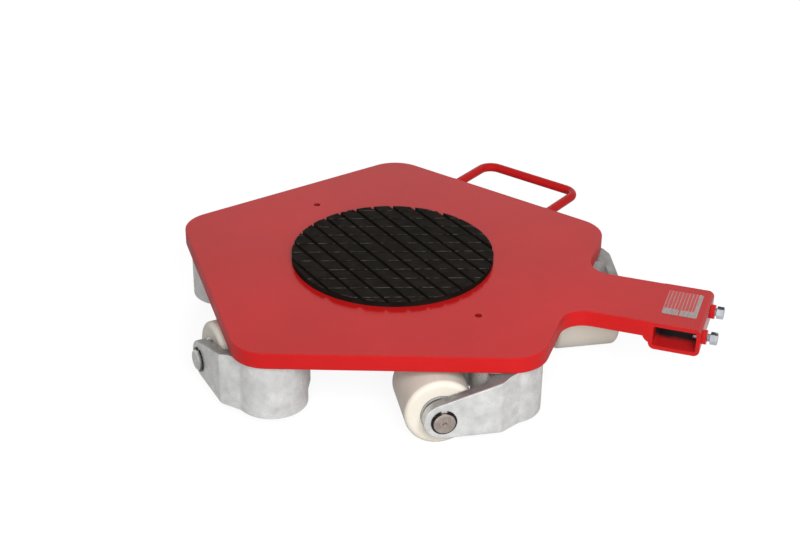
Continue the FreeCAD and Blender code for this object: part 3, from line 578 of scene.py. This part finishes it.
label_top = Vector(((label_low.x + label_high.x) / 2, (label_low.y + label_high.y) / 2, label_high.z))
half_long, half_deep = ((label_high - label_low) / 2).xy
rim = []
for quarter, (along, across) in enumerate(((1, 1), (-1, 1), (-1, -1), (1, -1))):
    centre = label_top + Vector((along * (half_long - label_round), across * (half_deep - label_round), 0))
    rim += [centre + heading(90 * (quarter + step / corner_steps)) * label_round
            for step in range(corner_steps + 1)]
label_shape = bmesh.new()
top_face = label_shape.faces.new([label_shape.verts.new(place) for place in rim])
grown = bmesh.ops.extrude_face_region(label_shape, geom=[top_face])
under = [item for item in grown["geom"] if isinstance(item, bmesh.types.BMVert)]
bmesh.ops.translate(label_shape, verts=under, vec=(0, 0, label_low.z - label_high.z))
top_edges = [edge for edge in label_shape.edges
             if all(abs(vert.co.z - label_high.z) < 1e-7 for vert in edge.verts)]
bmesh.ops.bevel(label_shape, geom=top_edges, offset=label_bevel, segments=2, affect="EDGES")
label_mesh = bpy.data.meshes.new("rating_label_foil")
label_shape.to_mesh(label_mesh)
label_shape.free()

foil = Finish("label_foil_printed")
brushed = foil.noise(1500, 2, (1, 0.04, 1))
# Painted reflection: the foil's silver is tinted pink, as the red enamel round it would show in it.
aluminium = foil.blend(foil.spread(brushed, 0.3, 0.7), (0.27, 0.21, 0.195, 1), (0.42, 0.35, 0.33, 1))
from_left = foil.math("SUBTRACT", foil.along("X"), label_low.x)
from_front = foil.math("SUBTRACT", foil.along("Y"), label_low.y)
column = foil.math("FRACT", foil.math("DIVIDE", from_left, column_pitch))
in_column = foil.math("GREATER_THAN", column, column_gap)
in_table = foil.math("MULTIPLY", foil.math("GREATER_THAN", from_front, table_front),
                     foil.math("LESS_THAN", from_left, label_high.x - label_low.x - table_end))
to_rule = foil.math("ABSOLUTE", foil.math("SUBTRACT", from_left, rule_place))
printed = foil.math("MAXIMUM", foil.math("MULTIPLY", in_column, in_table),
                    foil.math("LESS_THAN", to_rule, rule_half))
foil.surface(Base_Color=foil.blend(printed, aluminium, (0.43, 0.020, 0.020, 1)),
             Metallic=foil.spread(printed, 0, 1, 0.85, 0.15),
             Roughness=foil.spread(brushed, 0.3, 0.7, 0.22, 0.34),
             Normal=foil.relief(brushed, 0.00005, 0.3))
label_mesh.materials.append(foil.material)
closed(label_mesh)
fit("rating_label_foil", label_mesh, "deck", "rating_label")

# Swivel parts: kingpins of drawn bar welded under the corners, ground bearing races with balls between,
# bronze bushes in the housings, and a plated washer with a spring clip that keeps each fork on its pin.
corners = ("front_left", "rear_left", "tail", "rear_right", "front_right")
drawn_bar = ((0.42, 0.41, 0.40), (0.60, 0.59, 0.58))
drawn_gloss, drawn_pitch = (0.24, 0.38), 0.0008


def turned_steel(name, dark, bright, gloss, pitch, centre=(0, 0, 0), axis=upright):
    """Turned or drawn steel: clouded colour, with tool lines along the bar and on its ends."""
    finish = Finish(name, Metallic=1.0)
    finish.centre_on(centre, axis)
    cloud = finish.clouds(110, 4)
    lines = finish.relief(finish.lathe_lines(pitch), 0.00008, 0.5)
    rings = finish.relief(finish.lathe_lines(pitch, on_end=True), 0.00008, 0.5, lines)
    finish.surface(Base_Color=finish.blend(cloud, (*dark, 1), (*bright, 1)),
                   Roughness=finish.clouds(260, 3, *gloss), Normal=rings)
    return finish


def spring_black(name):
    """Spring steel, oiled black, with a little bright wear."""
    finish = Finish(name, Metallic=0.9)
    worn = finish.spread(finish.noise(300, 4), 0.58, 0.72)
    finish.surface(Base_Color=finish.blend(worn, (0.020, 0.019, 0.019, 1), (0.16, 0.15, 0.15, 1)),
                   Roughness=finish.clouds(180, 3, 0.26, 0.42),
                   Normal=finish.relief(finish.noise(800, 2), 0.0001, 0.3))
    return finish


def bearing_bright(name):
    """Ground bearing steel, bright with a faint film of oil."""
    finish = Finish(name, Metallic=0.6)
    film = finish.spread(finish.noise(140, 3), 0.35, 0.65)
    finish.bright = finish.blend(film, (0.62, 0.61, 0.59, 1), (0.78, 0.78, 0.77, 1))
    finish.surface(Base_Color=finish.bright,
                   Roughness=finish.clouds(400, 2, 0.14, 0.26),
                   Normal=finish.relief(finish.noise(1800, 1), 0.00004, 0.3))
    return finish


def bush_bronze(name):
    """Sintered bronze, brown and slightly porous."""
    finish = Finish(name, Metallic=0.9)
    pore = finish.noise(2200, 2)
    brown = finish.blend(finish.spread(pore, 0.3, 0.7), (0.30, 0.17, 0.07, 1), (0.52, 0.33, 0.15, 1))
    finish.surface(Base_Color=brown, Roughness=finish.spread(pore, 0.3, 0.7, 0.34, 0.5),
                   Normal=finish.relief(pore, 0.0001, 0.4))
    return finish


dress(turned_steel("kingpin_steel_drawn", *drawn_bar, drawn_gloss, drawn_pitch), "kingpins")
dress(bearing_bright("bearing_steel_swivel"), "thrust_upper_races", "thrust_balls",
      *(f"thrust_lower_race_{corner}" for corner in corners))
dress(bush_bronze("bronze_sintered"), *(f"swivel_bush_{corner}" for corner in corners))
dress(zinc_plate("bright_zinc_washer"), "kingpin_washers")
dress(spring_black("spring_steel_keeper"), "kingpin_circlips")

# Forks: steel castings, shot-blasted and hot-dip galvanised, so the skin is dimpled and clouded grey
# with crystal patches, and what faces up is painted darker as shade. Each turns on its kingpin and carries
# an axle.
crystal_share = 0.08
galvanised = Finish("cast_zinc_galvanised", Metallic=0.40)
crystal = galvanised.add("ShaderNodeRGBToBW", {0: galvanised.cells(260)})
tone = galvanised.math("ADD", galvanised.math("MULTIPLY", crystal, crystal_share),
                       galvanised.math("MULTIPLY", galvanised.noise(75, 8), 1 - crystal_share))
clouded = galvanised.spread(tone, 0.26, 0.70)
zinc_grey = galvanised.blend(clouded, (0.46, 0.46, 0.455, 1), (0.66, 0.66, 0.645, 1))
stain = galvanised.spread(galvanised.noise(38, 6), 0.52, 0.76, 0, 0.55)
stained = galvanised.blend(stain, zinc_grey, (0.42, 0.415, 0.405, 1))
# Painted shade: faces that look up are painted a darker grey, in uneven patches.
fork_top_shade = galvanised.math("MULTIPLY", galvanised.spread(galvanised.facing(upright), 0.55, 0.90),
                        galvanised.spread(galvanised.noise(60, 4), 0.25, 0.60, 0.95, 0.65))
cast_skin = galvanised.relief(galvanised.noise(130, 5), 0.0010, 0.35)
blast_pits = galvanised.spread(galvanised.cells(420, "Distance"), 0.0, 0.35)
galvanised.surface(Base_Color=galvanised.blend(fork_top_shade, stained, (0.130, 0.125, 0.118, 1)),
                   Roughness=galvanised.spread(tone, 0.3, 0.7, 0.38, 0.24),
                   Normal=galvanised.relief(blast_pits, 0.0003, 0.15, cast_skin))
dress(galvanised, *(f"fork_{corner}" for corner in corners))

# Axles, their clips and spacers: plain ground bar through both arms, centre-drilled at its ends,
# a black spring clip in a groove outside each arm, and bright turned sleeves beside the bearings.
# The front right axle is coloured a browner, warmer steel than the others.
clean_bar = ((0.40, 0.40, 0.40), (0.60, 0.60, 0.595))
browner_bar = ((0.36, 0.30, 0.265), (0.54, 0.465, 0.415))
ground_gloss, ground_pitch = (0.22, 0.36), 0.0011
bright_sleeve = ((0.60, 0.60, 0.60), (0.80, 0.80, 0.80))
sleeve_gloss, sleeve_pitch = (0.16, 0.28), 0.0008
clip_black = spring_black("spring_steel_clips")
joints = {joint["name"]: joint for joint in frame["joints"]}


def axle_line(corner):
    """The middle of a roller and the direction of its axle."""
    rolling = joints[f"roll_{corner}"]
    return Vector(rolling["pos_m"]), Vector(rolling["axis"])


for corner in corners:
    line = axle_line(corner)
    # The front right axle takes the browner steel colour.
    bar = browner_bar if corner == "front_right" else clean_bar
    ground = turned_steel(f"axle_steel_{corner}", *bar, ground_gloss, ground_pitch, *line)
    dress(ground, f"axle_{corner}")
    sleeve = turned_steel(f"spacer_steel_{corner}", *bright_sleeve, sleeve_gloss, sleeve_pitch, *line)
    dress(sleeve, f"axle_spacers_{corner}")
    dress(clip_black, f"axle_circlips_{corner}")

# Rollers and their bearings: solid cast nylon turned to size, natural cream, with a sealed ball bearing
# pressed into each end. The tread picks up fine scuffs as it rolls.
tool_pitch, tool_depth = 0.0014, 0.00005
shield_radius, shield_edge = 0.0205, 0.0002
ring_radius = 0.0235
seam_wide, seam_edge = 0.0006, 0.0003
for corner in corners:
    nylon = Finish(f"nylon_turned_{corner}", Subsurface_Weight=0.12, Subsurface_Scale=0.004,
                   Subsurface_Radius=(1.0, 0.8, 0.6), Specular_IOR_Level=0.4)
    nylon.centre_on(*axle_line(corner))
    yellowed = nylon.clouds(18, 4)
    cream = nylon.blend(yellowed, (0.62, 0.568, 0.482, 1), (0.685, 0.65, 0.578, 1))
    scuffed = nylon.spread(nylon.noise(210, 5, (1, 1, 0.25)), 0.62, 0.78, 0, 0.35)
    tread_lines = nylon.relief(nylon.lathe_lines(tool_pitch), tool_depth, 0.18)
    end_rings = nylon.relief(nylon.lathe_lines(tool_pitch, on_end=True), tool_depth, 0.18, tread_lines)
    nylon.surface(Base_Color=nylon.blend(scuffed, cream, (0.56, 0.49, 0.39, 1)),
                  Roughness=nylon.clouds(60, 4, 0.32, 0.48),
                  Normal=nylon.relief(nylon.noise(300, 3), 0.0002, 0.12, end_rings))
    dress(nylon, f"roller_{corner}")
    dress(bearing_bright(f"bearing_steel_{corner}"), f"bearing_cores_{corner}")
    sealed = bearing_bright(f"bearing_sealed_{corner}")
    sealed.centre_on(*axle_line(corner))
    from_axle = sealed.off_axis()
    shield = sealed.spread(from_axle, shield_radius - shield_edge, shield_radius, 1, 0)
    seam = sealed.spread(from_axle, ring_radius - seam_wide, ring_radius - seam_wide + seam_edge)
    shielded = sealed.blend(shield, sealed.bright, (0.17, 0.165, 0.16, 1))
    sealed.surface(Base_Color=sealed.blend(seam, shielded, (0.05, 0.048, 0.045, 1)))
    dress(sealed, f"bearing_shells_{corner}")

# Studio: a white floor that the object's shadow falls on, a white room all round, and soft light from
# two large screens, a strong one in front and a weak one behind.
floor_radius = 6.0
floor_gap = 0.0005
ambient = 0.25
white = (1, 1, 1, 1)
floor_shape = bmesh.new()
bmesh.ops.create_circle(floor_shape, cap_ends=True, segments=96, radius=floor_radius,
                        matrix=Matrix.Translation((0, 0, cad_box[0].z - floor_gap)))
floor_mesh = bpy.data.meshes.new("floor")
floor_shape.to_mesh(floor_mesh)
floor_shape.free()
floor = bpy.data.objects.new("floor", floor_mesh)
bpy.context.scene.collection.objects.link(floor)


def rays(nodes, *kinds):
    """Whether a ray is of one of these kinds."""
    found = 0.0
    for kind in kinds:
        found = nodes.math("MAXIMUM", found, nodes.add("ShaderNodeLightPath", out=f"Is {kind} Ray"))
    return found


paper = Finish("floor_paper")


def paper_look(grey, strength):
    """Matt paper that glows a little, so that it stays pale and a shadow on it stays soft."""
    matt = paper.add("ShaderNodeBsdfDiffuse", {"Color": (grey, grey, grey, 1)}, out="BSDF")
    glow = paper.add("ShaderNodeEmission", {"Color": white, "Strength": strength}, out="Emission")
    return paper.add("ShaderNodeAddShader", {0: matt, 1: glow}, out="Shader")


lighting = paper_look(grey=0.45, strength=0.0)
mirrored = paper_look(grey=0.45, strength=0.25)
seen = paper_look(grey=0.14, strength=0.90)
off_gloss = rays(paper, "Glossy", "Transmission")
unseen = paper.add("ShaderNodeMixShader", {0: off_gloss, 1: lighting, 2: mirrored})
shown = paper.add("ShaderNodeMixShader", {0: rays(paper, "Camera"), 1: unseen, 2: seen})
paper.feed(paper.tree.nodes["Material Output"].inputs["Surface"], shown)
floor_mesh.materials.append(paper.material)

world = bpy.data.worlds.new("studio")
bpy.context.scene.world = world
world.use_nodes = True
room = Nodes(world.node_tree)
soft = room.add("ShaderNodeBackground", {"Color": white, "Strength": ambient})
plain = room.add("ShaderNodeBackground", {"Color": white, "Strength": 1.0})
in_view = rays(room, "Camera", "Glossy", "Transmission")
walls = room.add("ShaderNodeMixShader", {0: in_view, 1: soft, 2: plain})
room.feed(room.tree.nodes["World Output"].inputs["Surface"], walls)


def screen(name, place, towards, wide, tall, watts):
    """A soft light screen turned towards a place, which gloss doesn't mirror."""
    lamp = bpy.data.lights.new(name, "AREA")
    lamp.shape = "RECTANGLE"
    lamp.size = wide
    lamp.size_y = tall
    lamp.energy = watts
    stand = bpy.data.objects.new(name, lamp)
    bpy.context.scene.collection.objects.link(stand)
    turn = (Vector(towards) - Vector(place)).to_track_quat("-Z", "Y").to_matrix().to_4x4()
    stand.matrix_world = Matrix.Translation(place) @ turn
    stand.visible_glossy = False


screen("screen_back", (-0.4, 2.3, 1.1), (0, 0, 0), wide=1.8, tall=1.2, watts=24)
screen("screen_front", (0.85, -1.68, 1.12), (0, 0, -0.05), wide=1.5, tall=1.2, watts=64)

# Camera: a short telephoto lens from the front and a little above, as the object was photographed.
# It leans by less than a degree, so that the deck lies as level as it does there.
camera_place = (0.5477, -1.6100, 0.9062)
camera_side = -71.531
rise = math.radians(28.624)
lean = math.radians(0.7758)
back = heading(camera_side) * math.cos(rise) + upright * math.sin(rise)
right = upright.cross(back).normalized()
up = back.cross(right)
leaning_right = right * math.cos(lean) + up * math.sin(lean)
leaning_up = up * math.cos(lean) - right * math.sin(lean)
lens = bpy.data.cameras.new("camera")
lens.sensor_fit = "HORIZONTAL"
lens.sensor_width = 36.0
lens.lens = 69.94
camera = bpy.data.objects.new("camera", lens)
bpy.context.scene.collection.objects.link(camera)
turn = Matrix((leaning_right, leaning_up, back)).transposed().to_4x4()
camera.matrix_world = Matrix.Translation(camera_place) @ turn
bpy.context.scene.camera = camera
bpy.context.scene.view_settings.view_transform = "Standard"
